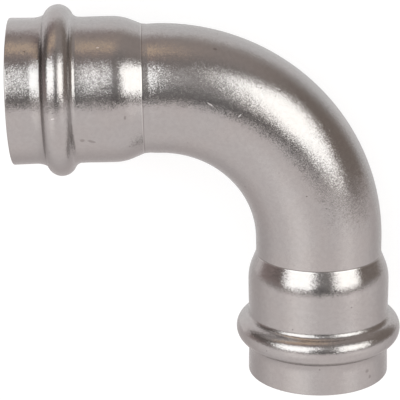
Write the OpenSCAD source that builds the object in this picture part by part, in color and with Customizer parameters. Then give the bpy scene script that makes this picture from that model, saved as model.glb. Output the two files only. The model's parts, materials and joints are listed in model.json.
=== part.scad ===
// Right-angle press elbow for thin-walled pipe: one formed stainless tube with a socket on
// each end, and a sealing ring in the bead of each socket. A pipe slides into a socket up to
// the shoulder, and a tool then presses the bead and the collar onto it.

/* [Pipe and wall] */
// Outside diameter of the pipe, which the bend's own tube shares
pipe_d = 28; // [18:0.5:42]
// Thickness of the formed wall, the same all over
wall = 1.5; // [1:0.1:2]
// Radial play between the pipe and the socket
pipe_play = 0.25; // [0.1:0.05:0.4]

/* [Bend] */
// Radius of the bend on the tube's centre line
bend_r = 35; // [28:0.5:60]
// Straight tube between the bend and each shoulder
tangent_l = 3.1; // [1:0.1:20]

/* [Shoulder] */
// Slope of the cone that widens the tube into the socket
shoulder_angle = 20; // [14:1:30]
// Radius of the round where the cone runs into the socket
shoulder_round = 10.5; // [3:0.5:11]
// Radius of the crease where the cone leaves the tube
crease_round = 0.5; // [0.2:0.1:1.5]

/* [Socket] */
// Straight socket between the shoulder and the bead
socket_run = 7.2; // [4:0.1:20]
// Straight collar between the bead and the end of the mouth
collar_run = 6.5; // [4:0.1:15]
// Rounding of the inner and outer edge of the mouth
lip_round = 0.3; // [0.1:0.05:0.45]

/* [Bead and sealing ring] */
// Thickness of the sealing ring
seal_d = 2.8; // [2:0.1:4]
// Radial play between the sealing ring and the pipe
seal_slip = 0.05; // [0.02:0.01:0.15]
// Gap between the sealing ring and the crown of its groove
seal_seat_gap = 0.15; // [0.05:0.05:0.3]
// Room on each side of the sealing ring in its groove
groove_play = 0.5; // [0.3:0.05:1]
// Radius of the fillet on each side of the bead's foot
bead_root_round = 0.9; // [0.4:0.1:2]

/* [Hidden] */
$fn = 96;

steel_color = [0.69, 0.66, 0.65];
rubber_color = [0.09, 0.09, 0.1];

// Radii of the tube and of the socket, both to the outside of the wall
pipe_r = pipe_d / 2;
tube_r = pipe_r;
socket_r = pipe_r + pipe_play + wall;

// Sealing ring, and the bead that is formed round it: its crown's radius and centre circle
seal_ring_r = pipe_r + seal_slip + seal_d / 2;
groove_r = seal_d / 2 + groove_play;
crown_round = groove_r + wall;
crown_ring_r = pipe_r + seal_slip + seal_d + seal_seat_gap - groove_r;

// Angle and half length over which the bead turns out of the socket and back
root_rise = socket_r + bead_root_round - crown_ring_r;
bead_angle = acos(root_rise / (crown_round + bead_root_round));
bead_half = root_rise * tan(bead_angle);

// Straight part of the shoulder's cone, and the length of the whole shoulder
shoulder_step = socket_r - tube_r;
turned_r = shoulder_round + crease_round;
cone_l = (shoulder_step - turned_r * (1 - cos(shoulder_angle))) / sin(shoulder_angle);
shoulder_l = turned_r * sin(shoulder_angle) + cone_l * cos(shoulder_angle);

// Places along an arm, from the crossing of the two socket axes
crease_at = bend_r + tangent_l;
socket_at = crease_at + shoulder_l;
bead_at = socket_at + socket_run + bead_half;
collar_at = bead_at + bead_half;
mouth_at = collar_at + collar_run;

// At rest the elbow lies on its two beads and on the back of the bend. It is tipped about the line
// between the beads by the angle at which all three reach the ground. With s the sine of that
// angle, reach * s + drop = crown_ring_r * sqrt(1 - s * s / 2).
bend_back = bend_r * (sqrt(2) - 1);
reach = bead_at / sqrt(2) - bend_back;
drop = tube_r - crown_round;
square_term = reach * reach + crown_ring_r * crown_ring_r / 2;
root_term = reach * reach * drop * drop - square_term * (drop * drop - crown_ring_r * crown_ring_r);
rest_sine = (sqrt(root_term) - reach * drop) / square_term;
rest_tilt = asin(rest_sine);
rest_lift = tube_r - bend_back * rest_sine;

// The origin is under the middle of the elbow's box, which runs from the lip of one arm's mouth
// to the side of the other arm's bead
arm_along = (1 + cos(rest_tilt)) / 2;
arm_across = (1 - cos(rest_tilt)) / 2;
lip_spread = (socket_r - lip_round) * sqrt(1 - arm_along * arm_along);
box_from = -(mouth_at - lip_round) * arm_along - lip_spread - lip_round;
box_to = bead_at * arm_across + crown_ring_r * sqrt(1 - arm_across * arm_across) + crown_round;
box_shift = -(box_from + box_to) / 2;

function ray(angle) = [cos(angle), sin(angle)];

// In the section of an arm, X is the radius and Y is the place along the arm

// A straight stretch of wall, to the outside radius r, from one place to another
module strip(r, from, to) {
    translate([r - wall, from])
        square([wall, to - from]);
}

// A stretch of wall that turns about a centre: the part of a ring between two angles
module turn(centre, r_in, r_out, from, to) {
    sight = 2 * r_out;
    translate(centre)
        intersection() {
            difference() {
                circle(r_out);
                if (r_in > 0)
                    circle(r_in);
            }
            polygon([[0, 0], sight * ray(from), sight * ray((from + to) / 2), sight * ray(to)]);
        }
}

// The shoulder: a crease, a cone and a round, one after the other
module shoulder_section() {
    crease_centre = [tube_r + crease_round, crease_at];
    round_centre = [socket_r - shoulder_round, socket_at];
    outward = ray(-shoulder_angle);
    turn(crease_centre, crease_round, crease_round + wall, 180 - shoulder_angle, 180);
    polygon([
        crease_centre - crease_round * outward,
        round_centre + shoulder_round * outward,
        round_centre + (shoulder_round - wall) * outward,
        crease_centre - (crease_round + wall) * outward
    ]);
    turn(round_centre, shoulder_round - wall, shoulder_round, -shoulder_angle, 0);
}

// The bead: a fillet out of the socket, a round crown over the sealing ring and a fillet back
module bead_section() {
    root_r = socket_r + bead_root_round;
    root_out = bead_root_round + wall;
    turn([root_r, bead_at - bead_half], bead_root_round, root_out, 180 - bead_angle, 180);
    turn([crown_ring_r, bead_at], groove_r, crown_round, -bead_angle, bead_angle);
    turn([root_r, bead_at + bead_half], bead_root_round, root_out, 180, 180 + bead_angle);
}

// The end of the mouth, with its two edges rounded
module lip_section() {
    lip_at = mouth_at - lip_round;
    inner_r = socket_r - wall + lip_round;
    outer_r = socket_r - lip_round;
    translate([inner_r, lip_at])
        square([outer_r - inner_r, lip_round]);
    turn([inner_r, lip_at], 0, lip_round, 90, 180);
    turn([outer_r, lip_at], 0, lip_round, 0, 90);
}

// One arm, from the end of the bend to the mouth, turned about its own axis
module arm() {
    rotate_extrude() {
        strip(tube_r, bend_r, crease_at);
        shoulder_section();
        strip(socket_r, socket_at, bead_at - bead_half);
        bead_section();
        strip(socket_r, collar_at, mouth_at - lip_round);
        lip_section();
    }
}

// The quarter bend between the two arms
module bend() {
    translate([-bend_r, -bend_r, 0])
        rotate_extrude(angle = 90)
            translate([bend_r, 0])
                difference() {
                    circle(tube_r);
                    circle(tube_r - wall);
                }
}

module sealing_ring() {
    rotate_extrude()
        translate([seal_ring_r, bead_at])
            circle(d = seal_d);
}

// Arm A points along -X and arm B along -Y, before the elbow is tipped into its rest
module on_arm_a() {
    rotate([0, -90, 0])
        children();
}

module on_arm_b() {
    rotate([90, 0, 0])
        children();
}

module at_rest() {
    translate([box_shift, box_shift, rest_lift])
        rotate(-rest_tilt, [1, -1, 0])
            children();
}

module elbow_body() {
    color(steel_color)
        at_rest() {
            bend();
            on_arm_a() arm();
            on_arm_b() arm();
        }
}

module seal_ring_a() {
    color(rubber_color)
        at_rest()
            on_arm_a()
                sealing_ring();
}

module seal_ring_b() {
    color(rubber_color)
        at_rest()
            on_arm_b()
                sealing_ring();
}

elbow_body();
seal_ring_a();
seal_ring_b();
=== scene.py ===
"""A stainless press elbow with its two sealing rings, lying at rest in a plain studio. Units are metres."""
import json
import math

import bpy
from mathutils import Matrix, Vector
from mathutils.geometry import intersect_line_line


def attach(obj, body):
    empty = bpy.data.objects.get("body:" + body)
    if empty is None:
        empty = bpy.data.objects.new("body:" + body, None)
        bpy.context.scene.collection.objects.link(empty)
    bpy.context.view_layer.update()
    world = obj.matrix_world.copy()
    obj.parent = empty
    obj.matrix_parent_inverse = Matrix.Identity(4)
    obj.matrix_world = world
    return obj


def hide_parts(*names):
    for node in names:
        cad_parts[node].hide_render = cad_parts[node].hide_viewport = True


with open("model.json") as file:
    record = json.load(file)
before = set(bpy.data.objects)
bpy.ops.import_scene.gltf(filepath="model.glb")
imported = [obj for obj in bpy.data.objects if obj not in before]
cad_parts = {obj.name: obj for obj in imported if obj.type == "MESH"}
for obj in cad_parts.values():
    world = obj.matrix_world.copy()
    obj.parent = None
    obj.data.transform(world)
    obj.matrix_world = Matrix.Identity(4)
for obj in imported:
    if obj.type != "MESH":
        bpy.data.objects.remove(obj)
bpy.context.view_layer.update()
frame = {"nodes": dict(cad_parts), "record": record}

MM = 0.001
QUARTER_TURN = math.pi / 2
HALF_TURN = math.pi

# Sizes of the formed wall, as in the part's source
PIPE_R = 14.0 * MM
WALL = 1.5 * MM
PIPE_PLAY = 0.25 * MM
BEND_R = 35.0 * MM
TANGENT_L = 3.1 * MM
SHOULDER_ANGLE = math.radians(20.0)
SHOULDER_ROUND = 10.5 * MM
CREASE_ROUND = 0.5 * MM
SOCKET_RUN = 7.2 * MM
COLLAR_RUN = 6.5 * MM
LIP_ROUND = 0.3 * MM
SEAL_D = 2.8 * MM
SEAL_SLIP = 0.05 * MM
SEAL_SEAT_GAP = 0.15 * MM
GROOVE_PLAY = 0.5 * MM
BEAD_ROOT_ROUND = 0.9 * MM

# Slight forms of the wall that only its reflections show: a steeper cone on the shoulder, the crown of the
# bead and its wide root on the socket
SHOULDER_SEEN = math.radians(22.0)
CROWN_SEEN = 3.2 * MM
ROOT_SEEN = 1.6 * MM

# The foot of the bead towards the mouth: a small corner, then a long round that turns by this angle
FOOT_CORNER = 0.8 * MM
FOOT_ROUND = 5.0 * MM
FOOT_ANGLE = math.radians(25.0)

# How much narrower than the socket the collar starts, and how much it widens to the lip
COLLAR_WAIST = 0.02 * MM
COLLAR_FLARE = 0.10 * MM

# The waist of the socket: its depth, and how far from the bead it is deepest and ends
SOCKET_WAIST = 0.035 * MM
WAIST_AT = 1.2 * MM
WAIST_END = 4.6 * MM

# The neck of the tube: its distance from the crease, its depth on each arm, and the power with which it
# deepens along the tube
NECK_RUN = 1.06 * MM
NECK_DEPTH_A = 0.11 * MM
NECK_DEPTH_B = 0.01 * MM
NECK_POWER = 1.3

# How finely the wall is meshed: segments round each ring, and steps along the bend, the tube and the socket.
# The rings between neck and crease are given by their distance from the crease, and those on the collar by
# their part of its length, close together at its ends to keep the shading even.
SEGMENTS = 144
BEND_STEPS = 48
TUBE_STEPS = 6
SOCKET_STEPS = 14
NECK_RINGS = (1.0 * MM, 0.25 * MM, 0.14 * MM)
COLLAR_RINGS = (0.03, 0.2, 0.4, 0.6, 0.8, 0.95, 0.99)

# How far the forming tools have smoothed the wall, from 0 to 1. The bend is smoothed in its middle, and this
# eases to nothing over an angle at its ends.
CREASE_WORKED = 0.5
SHOULDER_WORKED = 1.0
SHOULDER_END_WORKED = 0.4
BEAD_WORKED = 0.3
FOOT_WORKED = 0.2
COLLAR_WORKED = 0.6
BEND_WORKED = 0.35
BEND_EASE = math.radians(25.0)

# Painted shade and highlight on edges of the wall, from -1 for full shade to 1 for full highlight: painted
# shade in the crease and on the bead's flank and foot, the angle on the crown from which its flank is shaded,
# the painted highlight on the edge of the cone, and how far along the cone it reaches and has faded
CREASE_EDGE = -0.6
FLANK_EDGE = -0.9
FOOT_EDGE = -0.3
SHADED_FROM = math.radians(30.0)
BRIGHT_EDGE = 1.0
BRIGHT_TO = 0.12 * MM
BRIGHT_END = 0.28 * MM


def shoulder_length(angle):
    """Length along the arm of a shoulder whose cone has this angle, from the crease to the socket."""
    turned_r = SHOULDER_ROUND + CREASE_ROUND
    cone_rise = SOCKET_R - PIPE_R - turned_r * (1 - math.cos(angle))
    return turned_r * math.sin(angle) + cone_rise / math.tan(angle)


# Radii and places along an arm that follow from the sizes in the part's source
SOCKET_R = PIPE_R + PIPE_PLAY + WALL
CROWN_ROUND = SEAL_D / 2 + GROOVE_PLAY + WALL
CROWN_RING_R = PIPE_R + SEAL_SLIP + SEAL_D / 2 + SEAL_SEAT_GAP - GROOVE_PLAY
ROOT_RISE = SOCKET_R + BEAD_ROOT_ROUND - CROWN_RING_R
BEAD_ANGLE = math.acos(ROOT_RISE / (CROWN_ROUND + BEAD_ROOT_ROUND))
BEAD_HALF = ROOT_RISE * math.tan(BEAD_ANGLE)
CREASE_AT = BEND_R + TANGENT_L
BEAD_AT = CREASE_AT + shoulder_length(SHOULDER_ANGLE) + SOCKET_RUN + BEAD_HALF
MOUTH_AT = BEAD_AT + BEAD_HALF + COLLAR_RUN

# Where the socket, the root and the foot of the bead begin and end, with the slight forms
SOCKET_SEEN_AT = CREASE_AT + shoulder_length(SHOULDER_SEEN)
CROWN_SEEN_RING_R = CROWN_RING_R + CROWN_ROUND - CROWN_SEEN
ROOT_SEEN_RISE = SOCKET_R + ROOT_SEEN - CROWN_SEEN_RING_R
ROOT_SEEN_ANGLE = math.acos(ROOT_SEEN_RISE / (CROWN_SEEN + ROOT_SEEN))
ROOT_AT = BEAD_AT - ROOT_SEEN_RISE * math.tan(ROOT_SEEN_ANGLE)
FOOT_R = SOCKET_R - COLLAR_WAIST
FOOT_CORNER_R = FOOT_R + FOOT_ROUND - (FOOT_ROUND - FOOT_CORNER) * math.cos(FOOT_ANGLE)
FLANK_ANGLE = math.acos((FOOT_CORNER_R - CROWN_SEEN_RING_R) / (CROWN_SEEN + FOOT_CORNER))
FOOT_CORNER_AT = BEAD_AT + (CROWN_SEEN + FOOT_CORNER) * math.sin(FLANK_ANGLE)
FOOT_AT = FOOT_CORNER_AT + (FOOT_ROUND - FOOT_CORNER) * math.sin(FOOT_ANGLE)


def elbow_frame(record):
    """The elbow's own frame in the row, from the mounts of its two sockets.

    Its origin is where the axes of the sockets cross, with arm A along -X and arm B along -Y."""
    mounts = {m["name"]: m for m in record["mounts"]}
    pos_a, pos_b = (Vector(mounts[name]["pos_m"]) for name in ("socket_a", "socket_b"))
    out_a, out_b = (Vector(mounts[name]["axis"]).normalized() for name in ("socket_a", "socket_b"))
    near_a, near_b = intersect_line_line(pos_a, pos_a + out_a, pos_b, pos_b + out_b)
    axes = Matrix((-out_a, -out_b, out_a.cross(out_b))).transposed()
    return Matrix.Translation((near_a + near_b) / 2) @ axes.to_4x4()


ELBOW = elbow_frame(frame["record"])
RIGHT, UP, FRONT = (ELBOW.to_3x3().col[i].copy() for i in range(3))

# Each arm in the elbow's frame: the direction it points in, and the direction to the outside of the bend
ARM_A = (Vector((-1, 0, 0)), Vector((0, 1, 0)))
ARM_B = (Vector((0, -1, 0)), Vector((1, 0, 0)))
BEND_CENTRE = Vector((-BEND_R, -BEND_R, 0))


def spread(start, end, steps):
    """Values from start to end in even steps, both ends included."""
    return [start + (end - start) * i / steps for i in range(steps + 1)]


def smooth(t):
    """Rises smoothly from 0 at 0 to 1 at 1."""
    t = min(max(t, 0.0), 1.0)
    return t * t * (3 - 2 * t)


def arc(centre_r, centre_u, radius, start, end, steps, worked=0.0, edge=(0.0, 0.0)):
    """Points (radius, place along the arm, worked, edge) on an arc of the wall's section, both ends included.

    The edge value is given for the two ends of the arc."""
    points = []
    for angle, value in zip(spread(start, end, steps), spread(*edge, steps)):
        r = centre_r + radius * math.cos(angle)
        u = centre_u + radius * math.sin(angle)
        points.append((r, u, worked, value))
    return points


def tube_points(depth, neck_depth):
    """The straight tube, which draws in a little towards the crease and widens again just before it."""
    neck_at = CREASE_AT - NECK_RUN
    tube_r = PIPE_R - depth
    points = []
    for u in spread(BEND_R, neck_at, TUBE_STEPS)[1:]:
        drawn_in = neck_depth * ((u - BEND_R) / (neck_at - BEND_R)) ** NECK_POWER
        points.append((tube_r - drawn_in, u, 0.0, 0.0))
    for before in NECK_RINGS:
        drawn_in = neck_depth * before / NECK_RUN
        points.append((tube_r - drawn_in, CREASE_AT - before, 0.0, 0.0))
    return points


def shoulder_points(depth):
    """The crease, with painted shade towards the tube and a painted highlight towards the cone, then the cone
    and the round.
    """
    crease = (PIPE_R + CREASE_ROUND, CREASE_AT, CREASE_ROUND + depth)
    shoulder = (SOCKET_R - SHOULDER_ROUND, SOCKET_SEEN_AT, SHOULDER_ROUND - depth)
    middle = HALF_TURN - SHOULDER_SEEN / 2
    cone = HALF_TURN - SHOULDER_SEEN
    # Painted shade in the crease towards the tube, then a painted highlight on the edge of the cone
    darkened, bright = (CREASE_EDGE, CREASE_EDGE), (BRIGHT_EDGE, BRIGHT_EDGE)
    points = arc(*crease, HALF_TURN, middle, steps=3, worked=CREASE_WORKED, edge=darkened)
    points += arc(*crease, middle, cone, steps=3, worked=SHOULDER_WORKED, edge=bright)[1:]
    r, u = points[-1][:2]
    for along, edge in ((BRIGHT_TO, BRIGHT_EDGE), (BRIGHT_END, 0.0)):
        outward, onward = along * math.sin(SHOULDER_SEEN), along * math.cos(SHOULDER_SEEN)
        points.append((r + outward, u + onward, SHOULDER_WORKED, edge))
    points += arc(*shoulder, -SHOULDER_SEEN, 0, steps=12, worked=SHOULDER_WORKED)[:-1]
    return points + [(SOCKET_R - depth, SOCKET_SEEN_AT, SHOULDER_END_WORKED, 0.0)]


def socket_points(depth):
    """The straight socket, with a slight waist beside the bead."""
    points = []
    for u in spread(SOCKET_SEEN_AT, ROOT_AT, SOCKET_STEPS)[1:-1]:
        from_bead = ROOT_AT - u
        waist = SOCKET_WAIST * smooth(from_bead / WAIST_AT)
        waist *= smooth((WAIST_END - from_bead) / (WAIST_END - WAIST_AT))
        points.append((SOCKET_R - depth - waist, u, 0.0, 0.0))
    return points


def bead_points(depth):
    """The bead: its root on the socket, the crown with painted shade on its flank, and the foot into the
    collar.
    """
    root = (SOCKET_R + ROOT_SEEN, ROOT_AT, ROOT_SEEN + depth)
    crown = (CROWN_SEEN_RING_R, BEAD_AT, CROWN_SEEN - depth)
    corner = (FOOT_CORNER_R, FOOT_CORNER_AT, FOOT_CORNER + depth)
    foot = (FOOT_R + FOOT_ROUND, FOOT_AT, FOOT_ROUND + depth)
    flank_end, foot_start = HALF_TURN + FLANK_ANGLE, HALF_TURN + FOOT_ANGLE
    # Painted shade on the crown's flank, fading out over the foot
    to_flank, to_foot, to_unshaded = (0.0, FLANK_EDGE), (FLANK_EDGE, FOOT_EDGE), (FOOT_EDGE, 0.0)
    points = arc(*root, HALF_TURN, HALF_TURN - ROOT_SEEN_ANGLE, steps=10, worked=BEAD_WORKED)
    points += arc(*crown, -ROOT_SEEN_ANGLE, SHADED_FROM, steps=26, worked=BEAD_WORKED)[1:]
    points += arc(*crown, SHADED_FROM, FLANK_ANGLE, steps=7, worked=BEAD_WORKED, edge=to_flank)[1:]
    points += arc(*corner, flank_end, foot_start, steps=8, worked=BEAD_WORKED, edge=to_foot)[1:]
    return points + arc(*foot, foot_start, HALF_TURN, steps=10, worked=FOOT_WORKED, edge=to_unshaded)[1:]


def collar_points(depth):
    """The collar, which widens evenly from the foot of the bead to the lip."""
    run = MOUTH_AT - LIP_ROUND - FOOT_AT
    points = []
    for part in COLLAR_RINGS:
        r = FOOT_R + COLLAR_FLARE * part - depth
        points.append((r, FOOT_AT + run * part, COLLAR_WORKED, 0.0))
    return points


def skin(depth, neck_depth):
    """One face of an arm's wall, from the end of the bend to the lip; depth 0 is the outside."""
    points = tube_points(depth, neck_depth) + shoulder_points(depth) + socket_points(depth)
    return points + bead_points(depth) + collar_points(depth)


def lip():
    """The end of the flared mouth, from the outside of the wall over its two rounded edges to the inside."""
    lip_at = MOUTH_AT - LIP_ROUND
    mouth_r = FOOT_R + COLLAR_FLARE
    points = arc(mouth_r - LIP_ROUND, lip_at, LIP_ROUND, 0, QUARTER_TURN, steps=5)
    return points + arc(mouth_r - WALL + LIP_ROUND, lip_at, LIP_ROUND, QUARTER_TURN, HALF_TURN, steps=5)


def arm_rings(points, outward, away):
    """Rings round an arm: each a centre, the direction away from the bend, a radius, worked and edge."""
    return [(u * outward, away, r, worked, edge) for r, u, worked, edge in points]


def bend_rings(radius, start, end):
    """Rings round the bend from one angle to another, of the same kind as those round an arm."""
    rings = []
    for angle in spread(start, end, BEND_STEPS):
        away = Vector((math.cos(angle), math.sin(angle), 0))
        worked = BEND_WORKED * smooth(min(angle, QUARTER_TURN - angle) / BEND_EASE)
        rings.append((BEND_CENTRE + BEND_R * away, away, radius, worked, 0.0))
    return rings


def wall_rings():
    """Rings round the whole wall: outside from the mouth of arm A to that of arm B, and back inside."""
    rings = arm_rings(skin(0, NECK_DEPTH_A)[::-1], *ARM_A)
    rings += bend_rings(PIPE_R, QUARTER_TURN, 0)
    rings += arm_rings(skin(0, NECK_DEPTH_B) + lip() + skin(WALL, NECK_DEPTH_B)[::-1], *ARM_B)
    rings += bend_rings(PIPE_R - WALL, 0, QUARTER_TURN)
    return rings + arm_rings(skin(WALL, NECK_DEPTH_A) + lip()[::-1], *ARM_A)


def add_object(name, data):
    obj = bpy.data.objects.new(name, data)
    bpy.context.scene.collection.objects.link(obj)
    return obj


def add_mesh(name, verts, faces):
    mesh = bpy.data.meshes.new(name)
    mesh.from_pydata(verts, [], faces)
    return add_object(name, mesh)


def build_body():
    """The formed wall as one closed mesh of quads, in the place of the CAD body."""
    normal = Vector((0, 0, 1))
    verts, worked_values, edge_values = [], [], []
    for centre, away, radius, worked, edge in wall_rings():
        for j in range(SEGMENTS):
            angle = 2 * math.pi * j / SEGMENTS
            verts.append(ELBOW @ (centre + radius * (math.cos(angle) * away + math.sin(angle) * normal)))
        worked_values += [worked] * SEGMENTS
        edge_values += [edge] * SEGMENTS
    count = len(verts) // SEGMENTS
    faces = []
    for i in range(count):
        here, there = i * SEGMENTS, (i + 1) % count * SEGMENTS
        for j in range(SEGMENTS):
            k = (j + 1) % SEGMENTS
            faces.append((here + j, here + k, there + k, there + j))
    body = add_mesh("formed_body", verts, faces)
    mesh = body.data
    mesh.polygons.foreach_set("use_smooth", [True] * len(mesh.polygons))
    for name, values in (("worked", worked_values), ("edge", edge_values)):
        mesh.attributes.new(name, "FLOAT", "POINT").data.foreach_set("value", values)
    mesh.validate()
    return body


class Nodes:
    """Short calls for building one material's or world's node tree."""

    def __init__(self, tree):
        self.tree = tree
        tree.nodes.clear()

    def add(self, kind, inputs=None, **settings):
        node = self.tree.nodes.new(kind)
        for name, value in settings.items():
            setattr(node, name, value)
        for name, value in (inputs or {}).items():
            self.put(node.inputs[name], value)
        return node

    def put(self, socket, value):
        if isinstance(value, bpy.types.NodeSocket):
            self.tree.links.new(value, socket)
        else:
            socket.default_value = value

    def math(self, operation, *values):
        return self.add("ShaderNodeMath", dict(enumerate(values)), operation=operation).outputs[0]

    def vector(self, operation, *values):
        node = self.add("ShaderNodeVectorMath", dict(enumerate(values)), operation=operation)
        return node.outputs["Vector"]

    def scaled(self, vector, factor):
        node = self.add("ShaderNodeVectorMath", {0: vector, "Scale": factor}, operation="SCALE")
        return node.outputs["Vector"]

    def dot(self, a, b):
        node = self.add("ShaderNodeVectorMath", {0: a, 1: b}, operation="DOT_PRODUCT")
        return node.outputs["Value"]

    def step(self, value, low, high, to_low=0.0, to_high=1.0):
        """Goes smoothly from to_low to to_high as value goes from low to high."""
        inputs = {"Value": value, "From Min": low, "From Max": high, "To Min": to_low, "To Max": to_high}
        return self.add("ShaderNodeMapRange", inputs, interpolation_type="SMOOTHSTEP").outputs["Result"]

    def noise(self, vector, size, detail=2.0):
        """Noise with features of about the given size."""
        inputs = {"Vector": vector, "Scale": 1 / size, "Detail": detail}
        return self.add("ShaderNodeTexNoise", inputs).outputs["Fac"]

    def cells(self, vector, size):
        """Cells of about the given size, each with a colour of its own."""
        return self.add("ShaderNodeTexVoronoi", {"Vector": vector, "Scale": 1 / size})

    def mix(self, factor, a, b):
        """A colour between a and b, by the sockets that the mix node keeps for colours."""
        node = self.add("ShaderNodeMix", {"Factor": factor}, data_type="RGBA")
        self.put(node.inputs[6], a)
        self.put(node.inputs[7], b)
        return node.outputs[2]

    def finish(self, kind, shader):
        """Ends the tree with an output node of this kind."""
        out = self.add(kind)
        self.put(out.inputs["Surface"], shader.outputs[0])


def new_material(name):
    material = bpy.data.materials.new(name)
    material.use_nodes = True
    return material, Nodes(material.node_tree)


def paint(obj, material):
    obj.data.materials.clear()
    obj.data.materials.append(material)


# Marks of use in the elbow's frame: middle in mm, direction, half the length and half the width in mm
DARK_MARKS = (
    ((-22.75, 10.05, 7.74), (1.0, 0.0, 0.0), 0.42, 0.36),
    ((-41.90, -2.40, 15.15), (0.0, 1.0, 0.0), 0.45, 0.26),
    ((-51.00, -7.50, 13.85), (1.0, 0.0, 0.0), 0.48, 0.40),
    ((-49.05, -7.80, 13.70), (0.9, -0.3, -0.2), 0.85, 0.34),
    ((9.75, -62.40, 12.37), (1.0, 0.0, -0.7), 0.50, 0.40),
    ((10.40, -64.00, 11.83), (0.0, 1.0, 0.0), 0.42, 0.36),
)
BRIGHT_MARKS = (
    ((-24.10, -0.33, 13.93), (0.82, -0.57, 0.03), 0.80, 0.11),
    ((-18.00, -2.85, 13.93), (0.73, 0.68, 0.00), 0.55, 0.10),
    ((-47.20, 11.55, 10.70), (1.0, 0.1, 0.0), 0.32, 0.12),
    ((-56.60, -1.50, 18.40), (0.95, 0.2, 0.15), 0.35, 0.12),
)

# Where a mark fades, as a range of its oval's value, which is 1 at its half length and half width
MARK_FADE = (1.8, 0.2)


def mark(n, place, middle, along, half_length, half_width):
    """1 on a small oval of the surface, fading to 0 beside it. Middle, direction and size are as listed."""
    centre = ELBOW @ (Vector(middle) * MM)
    direction = (ELBOW.to_3x3() @ Vector(along)).normalized()
    offset = n.vector("SUBTRACT", place, centre)
    run = n.dot(offset, direction)
    run_square = n.math("MULTIPLY", run, run)
    across_square = n.math("SUBTRACT", n.dot(offset, offset), run_square)
    long_part = n.math("MULTIPLY", run_square, (half_length * MM) ** -2)
    oval = n.math("MULTIPLY_ADD", across_square, (half_width * MM) ** -2, long_part)
    return n.step(oval, *MARK_FADE)


def marks(n, place, listed):
    """1 on any of the listed marks."""
    total = 0.0
    for one in listed:
        total = n.math("MAXIMUM", mark(n, place, *one), total)
    return total


# Colours of the steel: two that its faint clouds go between, its mottle, its specks, its stains and the
# painted shade, and its scratches and the painted highlight
STEEL_COOL = (0.500, 0.491, 0.487, 1)
STEEL_WARM = (0.506, 0.489, 0.481, 1)
STEEL_MOTTLED = (0.36, 0.34, 0.335, 1)
SPECK_DARK = (0.12, 0.095, 0.085, 1)
STAIN_AND_SHADE = (0.19, 0.165, 0.155, 1)
BRIGHT_SCRATCH_AND_HIGHLIGHT = (0.92, 0.90, 0.89, 1)

# How much of each colour shows at most, and from which edge value the painted highlight shows
MOTTLE_SHARE = 0.12
SPECK_SHARE = 0.5
DARK_MARK_SHARE = 0.42
EDGE_SHADE_SHARE = 0.66
EDGE_HIGHLIGHT_SHARE = 0.13
EDGE_HIGHLIGHT_FROM = 0.2

# Sizes of the clouds and the mottle, the part of the noise that makes them, and the specks' size and spacing
CLOUD_SIZE = 9.0 * MM
MOTTLE_SIZE = 0.9 * MM
CLOUD_NOISE = (0.35, 0.65)
SPECK_SIZE = 0.22 * MM
SPECK_SPACING = 4.0 * MM

# Waves left by forming, pits of the pickling bath, and the facets of the grain: their size, how far they
# tilt, and the part of tilt and roughness that the tools leave where they have smoothed the wall most
WAVE_SIZE = 3.5 * MM
WAVE_DEPTH = 0.045 * MM
PIT_SIZE = 0.2 * MM
PIT_DEPTH = 0.006 * MM
GRAIN_SIZE = 0.10 * MM
GRAIN_TILT = 0.175
GRAIN_LEFT = 0.8

# Roughness in the pits and on the grain between them, by the noise of the pits, and on the bright marks
PIT_NOISE = (0.35, 0.70)
PIT_ROUGH = 0.19
GRAIN_ROUGH = 0.145
BRIGHT_MARK_ROUGH = 0.5


def steel_colour(n, place, bright):
    """Faint clouds and mottle, dark specks and marks, scratches, painted shade in corners, painted edge
    highlights.
    """
    edge = n.add("ShaderNodeAttribute", attribute_name="edge").outputs["Fac"]
    cloud = n.step(n.noise(place, CLOUD_SIZE), *CLOUD_NOISE)
    tint = n.mix(cloud, STEEL_COOL, STEEL_WARM)
    mottle = n.step(n.noise(place, MOTTLE_SIZE), *CLOUD_NOISE, MOTTLE_SHARE, 0.0)
    tint = n.mix(mottle, tint, STEEL_MOTTLED)

    # Each speck is cut by the surface from a ball about the point of its cell
    ball = SPECK_SIZE / SPECK_SPACING
    from_point = n.cells(place, SPECK_SPACING).outputs["Distance"]
    speck = n.step(from_point, ball, ball / 2, 0.0, SPECK_SHARE)
    tint = n.mix(speck, tint, SPECK_DARK)
    dark = n.math("MULTIPLY", marks(n, place, DARK_MARKS), DARK_MARK_SHARE)
    # Stains from the dark marks, and painted shade in the crease and on the bead's flank and foot
    darkened = n.math("MAXIMUM", dark, n.step(edge, 0.0, -1.0, 0.0, EDGE_SHADE_SHARE))
    tint = n.mix(darkened, tint, STAIN_AND_SHADE)
    # Scratches from the bright marks, and a painted highlight on the edge of the cone
    scratches_and_highlight = n.math("MAXIMUM", bright, n.step(edge, EDGE_HIGHLIGHT_FROM, 1.0, 0.0, EDGE_HIGHLIGHT_SHARE))
    return n.mix(scratches_and_highlight, tint, BRIGHT_SCRATCH_AND_HIGHLIGHT)


def steel_normal(n, place, pits, left):
    """The surface with its waves and pits, and facets that each tilt their own way."""
    wave = n.noise(place, WAVE_SIZE, detail=1.0)
    wavy = n.add("ShaderNodeBump", {"Strength": 1.0, "Distance": WAVE_DEPTH, "Height": wave})
    pitted = n.add("ShaderNodeBump", {
        "Strength": 1.0, "Distance": PIT_DEPTH, "Height": pits, "Normal": wavy.outputs["Normal"]})

    # A facet leans by how far the colour of its cell is from the middle grey
    lean = n.vector("SUBTRACT", n.cells(place, GRAIN_SIZE).outputs["Color"], (0.5, 0.5, 0.5))
    tilt = n.scaled(lean, n.math("MULTIPLY", left, GRAIN_TILT))
    return n.vector("NORMALIZE", n.vector("ADD", pitted.outputs["Normal"], tilt))


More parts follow.
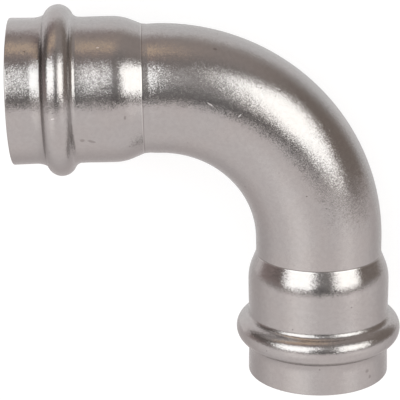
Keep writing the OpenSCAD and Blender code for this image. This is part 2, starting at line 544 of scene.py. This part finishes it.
def steel_material():
    """Pickled stainless steel, whose fine facets break up the edges of reflections, with marks of use."""
    material, n = new_material("satin_stainless")
    place = n.add("ShaderNodeTexCoord").outputs["Object"]
    worked = n.add("ShaderNodeAttribute", attribute_name="worked").outputs["Fac"]
    left = n.step(worked, 0.0, 1.0, 1.0, GRAIN_LEFT)
    pits = n.noise(place, PIT_SIZE, detail=1.0)
    bright = marks(n, place, BRIGHT_MARKS)
    rough = n.math("MULTIPLY", left, n.step(pits, *PIT_NOISE, PIT_ROUGH, GRAIN_ROUGH))
    rough = n.math("MAXIMUM", rough, n.math("MULTIPLY", bright, BRIGHT_MARK_ROUGH))
    shader = n.add("ShaderNodeBsdfPrincipled", {
        "Metallic": 1.0,
        "Base Color": steel_colour(n, place, bright),
        "Roughness": rough,
        "Normal": steel_normal(n, place, pits, left)})
    n.finish("ShaderNodeOutputMaterial", shader)
    return material


# Sealing rubber: clean and dusty colour, the patches of dust with their size, detail and part of the noise,
# the dull patches of the skin with their size, part of the noise and range of roughness, and the bumps
RUBBER_BLACK = (0.012, 0.012, 0.013, 1)
RUBBER_DUSTY = (0.035, 0.034, 0.033, 1)
DUST_SIZE = 1.5 * MM
DUST_DETAIL = 4.0
DUST_NOISE = (0.5, 0.8)
DULL_SIZE = 0.6 * MM
DULL_NOISE = (0.3, 0.7)
RUBBER_ROUGH = (0.42, 0.6)
RUBBER_BUMP_SIZE = 0.25 * MM
RUBBER_BUMP_DEPTH = 0.02 * MM
RUBBER_BUMP_SHARE = 0.3


def rubber_material():
    """Black moulded rubber with a dull skin and a trace of dust."""
    material, n = new_material("sealing_rubber")
    place = n.add("ShaderNodeTexCoord").outputs["Object"]
    dust = n.step(n.noise(place, DUST_SIZE, DUST_DETAIL), *DUST_NOISE)
    rough = n.step(n.noise(place, DULL_SIZE), *DULL_NOISE, *RUBBER_ROUGH)
    bump = n.add("ShaderNodeBump", {
        "Strength": RUBBER_BUMP_SHARE,
        "Distance": RUBBER_BUMP_DEPTH,
        "Height": n.noise(place, RUBBER_BUMP_SIZE)})
    shader = n.add("ShaderNodeBsdfPrincipled", {
        "Base Color": n.mix(dust, RUBBER_BLACK, RUBBER_DUSTY),
        "Roughness": rough,
        "Normal": bump.outputs["Normal"]})
    n.finish("ShaderNodeOutputMaterial", shader)
    return material


# White floor: half its width, its colour for the light that it throws back, its darker colour where it is
# seen, which carries the shadow, the white added there for the camera and for reflections, and the lengths at
# which a reflected or shadow ray begins to pass through it and wholly does
FLOOR_HALF = 6.0
FLOOR_WHITE = (0.80, 0.80, 0.80, 1)
FLOOR_SHADOWED = (0.30, 0.30, 0.30, 1)
FLOOR_LIFT = 0.80
FLOOR_LIFT_REFLECTED = 0.50
FLOOR_REACH = (6.0 * MM, 45.0 * MM)


def floor_material():
    """White floor. Far reflections and shadow rays pass it and meet the studio, near ones meet the floor."""
    material, n = new_material("white_floor")
    path = n.add("ShaderNodeLightPath")
    camera = n.math("MAXIMUM", path.outputs["Is Camera Ray"], path.outputs["Is Transmission Ray"])
    glossy = path.outputs["Is Glossy Ray"]
    white = n.mix(n.math("MAXIMUM", camera, glossy), FLOOR_WHITE, FLOOR_SHADOWED)
    plain = n.add("ShaderNodeBsdfDiffuse", {"Color": white})
    reflected = n.math("MULTIPLY", glossy, FLOOR_LIFT_REFLECTED)
    strength = n.math("MULTIPLY_ADD", camera, FLOOR_LIFT, reflected)
    lift = n.add("ShaderNodeEmission", {"Color": (1, 1, 1, 1), "Strength": strength})
    seen = n.add("ShaderNodeAddShader", {0: plain.outputs[0], 1: lift.outputs[0]})
    passes = n.math("MAXIMUM", glossy, path.outputs["Is Shadow Ray"])
    far = n.step(path.outputs["Ray Length"], *FLOOR_REACH)
    clear = n.add("ShaderNodeBsdfTransparent")
    mixed = n.add("ShaderNodeMixShader", {
        0: n.math("MULTIPLY", passes, far), 1: seen.outputs[0], 2: clear.outputs[0]})
    n.finish("ShaderNodeOutputMaterial", mixed)
    return material


def build_floor():
    """A wide floor under the part."""
    near, far = -FLOOR_HALF, FLOOR_HALF
    corners = [(near, near, 0), (far, near, 0), (far, far, 0), (near, far, 0)]
    floor = add_mesh("floor", corners, [(0, 1, 2, 3)])
    paint(floor, floor_material())


# Studio round the elbow, by direction. Azimuth 0 is in front of the plane of the elbow and positive to its
# right, and elevation is towards the back of arm B. A panel is a flat rectangle far away: azimuth and
# elevation of its middle, half its width and half its height, how far its top leans to the right, all in
# degrees, and how soft its edge is. The glows are lit places, one on the wall between the softboxes and two
# on the card.
LEFT_SOFTBOX = (-36.25, 26.0, 27.75, 21.25, -15.0, 0.08)
RIGHT_SOFTBOX = (46.75, 23.1, 20.5, 22.1, 18.0, 0.08)
WALL_GLOW = (9.0, 33.0, 9.0, 9.0, 0.0, 0.12)
LEFT_GLOW = (-37.0, -15.0, 18.0, 25.0, 0.0, 0.25)
RIGHT_GLOW = (49.0, -16.0, 12.0, 10.0, 0.0, 0.20)

# Light of the softboxes and the wall between them, of the room, of the backdrop behind and the card below
LEFT_LIGHT = (2.13, 2.13, 2.11, 1)
RIGHT_LIGHT = (2.14, 2.11, 2.05, 1)
WALL_LIT = (0.47, 0.45, 0.445, 1)
ROOM_FRONT = (0.31, 0.28, 0.27, 1)
ROOM_LEFT = (0.36, 0.29, 0.28, 1)
ROOM_SIDE = (0.17, 0.145, 0.135, 1)
ROOM_RIGHT = (0.275, 0.230, 0.205, 1)
ROOM_RIGHT_TOP = (0.42, 0.367, 0.345, 1)
ROOM_TOP = (0.47, 0.40, 0.368, 1)
WARM_STRIP = (0.90, 0.69, 0.51, 1)
BACKDROP = (0.86, 0.805, 0.80, 1)
BACKDROP_FAR = (1.02, 0.99, 0.985, 1)
CARD_FRONT = (0.860, 0.800, 0.788, 1)
CARD_BACK = (0.61, 0.562, 0.555, 1)
CARD_LIT = (1.09, 1.03, 1.01, 1)

# Where one part of the studio gives way to another: ranges of the ray's x to the right, y towards the back of
# arm B and z to the front, each from -1 to 1, and of its elevation in degrees. On the right x also moves the
# edge of the backdrop, by a factor.
RIGHT_X = (-0.1, 0.1)
RIGHT_TOP_ELEVATION = (30.0, 60.0)
RIGHT_FRONT_Z = (0.05, 0.40)
FRONT_Z = (0.2, 0.8)
SIDE_X = (-0.45, -0.80)
SIDE_ELEVATION = (8.0, 20.0)
TOP_ELEVATION = (65.0, 80.0)
STRIP_X = (0.18, -0.06)
STRIP_Y = (0.6, 0.9)
STRIP_BACK_Z = (-0.10, 0.10)
STRIP_FRONT_Z = (0.32, 0.12)
BACKDROP_Z = (-0.40, -0.58)
BACKDROP_FAR_Z = (-0.65, -1.0)
BACKDROP_TURN = 0.25
CARD_Z = (-0.6, 0.2)
CARD_ELEVATION = (0.0, -4.0)

# The least that a ray counts as pointing towards a panel, so that one beside or behind it falls far outside
LEAST_AHEAD = 0.001


def panel(n, ray, azimuth, elevation, half_width, half_height, roll, softness):
    """1 where the ray meets the rectangle, and 0 beside it."""
    turn, rise, lean = (math.radians(angle) for angle in (azimuth, elevation, roll))
    across = RIGHT * math.cos(turn) - FRONT * math.sin(turn)
    level = RIGHT * math.sin(turn) + FRONT * math.cos(turn)
    middle = level * math.cos(rise) + UP * math.sin(rise)
    upward = UP * math.cos(rise) - level * math.sin(rise)
    side = across * math.cos(lean) - upward * math.sin(lean)
    top = upward * math.cos(lean) + across * math.sin(lean)
    ahead = n.math("MAXIMUM", n.dot(ray, middle), LEAST_AHEAD)
    within = []
    for axis, half in ((side, half_width), (top, half_height)):
        edge = math.tan(math.radians(half))
        offset = n.math("ABSOLUTE", n.math("DIVIDE", n.dot(ray, axis), ahead))
        within.append(n.step(offset, edge + softness, edge - softness))
    return n.math("MULTIPLY", *within)


def room_colour(n, x, y, z, elevation):
    """A dim room, with a warm strip high up on the left and a pale backdrop behind the elbow."""
    right_top = n.mix(n.step(z, *RIGHT_FRONT_Z), ROOM_RIGHT_TOP, ROOM_FRONT)
    right = n.mix(n.step(elevation, *RIGHT_TOP_ELEVATION), ROOM_RIGHT, right_top)
    colour = n.mix(n.step(x, *RIGHT_X), ROOM_LEFT, right)
    colour = n.mix(n.step(z, *FRONT_Z), colour, ROOM_FRONT)
    side = n.math("MULTIPLY", n.step(x, *SIDE_X), n.step(elevation, *SIDE_ELEVATION))
    colour = n.mix(side, colour, ROOM_SIDE)
    colour = n.mix(n.step(elevation, *TOP_ELEVATION), colour, ROOM_TOP)
    strip = n.math("MULTIPLY", n.step(z, *STRIP_BACK_Z), n.step(z, *STRIP_FRONT_Z))
    strip = n.math("MULTIPLY", strip, n.step(x, *STRIP_X))
    strip = n.math("MULTIPLY", strip, n.step(y, *STRIP_Y))
    colour = n.mix(strip, colour, WARM_STRIP)
    backdrop = n.mix(n.step(z, *BACKDROP_FAR_Z), BACKDROP, BACKDROP_FAR)
    backward = n.math("MULTIPLY_ADD", n.math("MAXIMUM", x, 0.0), BACKDROP_TURN, z)
    return n.mix(n.step(backward, *BACKDROP_Z), colour, backdrop)


def card_colour(n, ray, z):
    """The pale card below the elbow, lit in two places by the softboxes."""
    card = n.mix(n.step(z, *CARD_Z), CARD_BACK, CARD_FRONT)
    for glow in (LEFT_GLOW, RIGHT_GLOW):
        card = n.mix(panel(n, ray, *glow), card, CARD_LIT)
    return card


def build_world():
    """The studio that lights the elbow and that the steel reflects; the camera sees plain white."""
    world = bpy.data.worlds.new("studio")
    bpy.context.scene.world = world
    world.use_nodes = True
    n = Nodes(world.node_tree)
    ray = n.add("ShaderNodeTexCoord").outputs["Generated"]
    x, y, z = n.dot(ray, RIGHT), n.dot(ray, UP), n.dot(ray, FRONT)
    elevation = n.math("MULTIPLY", n.math("ARCSINE", y), math.degrees(1.0))
    colour = room_colour(n, x, y, z, elevation)
    colour = n.mix(n.step(elevation, *CARD_ELEVATION), colour, card_colour(n, ray, z))
    lights = ((WALL_GLOW, WALL_LIT), (LEFT_SOFTBOX, LEFT_LIGHT), (RIGHT_SOFTBOX, RIGHT_LIGHT))
    for place, light in lights:
        colour = n.mix(panel(n, ray, *place), colour, light)

    path = n.add("ShaderNodeLightPath")
    direct = n.math("MAXIMUM", path.outputs["Is Camera Ray"], path.outputs["Is Transmission Ray"])
    studio = n.add("ShaderNodeBackground", {"Color": colour, "Strength": 1.0})
    plain = n.add("ShaderNodeBackground", {"Color": (1, 1, 1, 1), "Strength": 1.0})
    mixed = n.add("ShaderNodeMixShader", {0: direct, 1: studio.outputs[0], 2: plain.outputs[0]})
    n.finish("ShaderNodeOutputWorld", mixed)


# A dark flag bent round the front of the elbow, with a taller stand in its middle, that only reflections see.
# It ends the reflection of the card, and parts those of the softboxes, at its own place on each arm. In the
# elbow's frame it has its distance, its lower and upper edge and half its turn, and the stand its top and its
# two sides. The steps are those of its mesh, on each side of the stand and across the stand.
FLAG_FRONT = 395 * MM
FLAG_LOW = -70 * MM
FLAG_HIGH = -5 * MM
FLAG_HALF_ANGLE = math.radians(95.0)
STAND_HIGH = 165 * MM
STAND_LEFT = math.radians(-13.5)
STAND_RIGHT = math.radians(10.5)
FLAG_STEPS = 20
STAND_STEPS = 8

# Its cloth: dark low in the middle, grey up the stand and lighter to both sides, by the height above a middle
# place and the distance to its left or right
FLAG_DARK = (0.155, 0.147, 0.145, 1)
STAND_GREY = (0.30, 0.286, 0.282, 1)
FLAG_SIDE = (0.36, 0.325, 0.315, 1)
FLAG_MIDDLE = Vector((30.0, 0.0, 0.0)) * MM
GREY_HEIGHT = (0.0, 60 * MM)
SIDE_DISTANCE = (90 * MM, 200 * MM)


def flag_material():
    """Dull cloth of the flag, a little lighter up its stand and towards its two sides."""
    material, n = new_material("flag_cloth")
    place = n.add("ShaderNodeTexCoord").outputs["Object"]
    offset = n.vector("SUBTRACT", place, ELBOW @ FLAG_MIDDLE)
    middle = n.mix(n.step(n.dot(offset, UP), *GREY_HEIGHT), FLAG_DARK, STAND_GREY)
    aside = n.math("ABSOLUTE", n.dot(offset, RIGHT))
    colour = n.mix(n.step(aside, *SIDE_DISTANCE), middle, FLAG_SIDE)
    n.finish("ShaderNodeOutputMaterial", n.add("ShaderNodeEmission", {"Color": colour, "Strength": 1.0}))
    return material


def build_flag():
    """The flag as one strip of quads from left to right."""
    outline = [(angle, FLAG_HIGH) for angle in spread(-FLAG_HALF_ANGLE, STAND_LEFT, FLAG_STEPS)]
    outline += [(angle, STAND_HIGH) for angle in spread(STAND_LEFT, STAND_RIGHT, STAND_STEPS)]
    outline += [(angle, FLAG_HIGH) for angle in spread(STAND_RIGHT, FLAG_HALF_ANGLE, FLAG_STEPS)]
    verts = []
    for angle, top in outline:
        across, ahead = FLAG_FRONT * math.sin(angle), FLAG_FRONT * math.cos(angle)
        for height in (FLAG_LOW, top):
            verts.append(ELBOW @ Vector((across, height, ahead)))
    faces = [(i, i + 1, i + 3, i + 2) for i in range(0, len(verts) - 2, 2)]
    flag = add_mesh("flag", verts, faces)
    paint(flag, flag_material())
    flag.visible_camera = False
    flag.visible_diffuse = False
    flag.visible_shadow = False


# The photograph's view of the elbow: how far the camera stands to the right of and above the front, its roll,
# the point in the plane of the elbow that it aims at, its distance, its lens and sensor width in mm, and the
# nearest distance that it sees
VIEW_RIGHT = math.radians(-1.005)
VIEW_ABOVE = math.radians(18.021)
VIEW_ROLL = math.radians(-1.050)
VIEW_AIM = Vector((-26.365, -25.649, 0)) * MM
VIEW_DISTANCE = 340.24 * MM
VIEW_LENS = 138.26
SENSOR = 36.0
CLIP_START = 10 * MM


def build_camera():
    """The camera, placed in the elbow's frame."""
    back = Vector((
        math.sin(VIEW_RIGHT),
        math.cos(VIEW_RIGHT) * math.sin(VIEW_ABOVE),
        math.cos(VIEW_RIGHT) * math.cos(VIEW_ABOVE)))
    level_right = Vector((0, 1, 0)).cross(back).normalized()
    level_up = back.cross(level_right)
    right = level_right * math.cos(VIEW_ROLL) + level_up * math.sin(VIEW_ROLL)
    up = level_up * math.cos(VIEW_ROLL) - level_right * math.sin(VIEW_ROLL)
    data = bpy.data.cameras.new("camera")
    data.lens = VIEW_LENS
    data.sensor_width = SENSOR
    data.clip_start = CLIP_START
    camera = add_object("camera", data)
    turn = Matrix((right, up, back)).transposed().to_4x4()
    camera.matrix_world = ELBOW @ Matrix.Translation(VIEW_AIM + back * VIEW_DISTANCE) @ turn
    bpy.context.scene.camera = camera


steel = steel_material()
rubber = rubber_material()

formed_body = build_body()
paint(formed_body, steel)
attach(formed_body, "root")
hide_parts("elbow_body")
for ring in ("seal_ring_a", "seal_ring_b"):
    paint(frame["nodes"][ring], rubber)

build_floor()
build_flag()
build_world()
build_camera()
bpy.context.scene.view_settings.view_transform = "Standard"
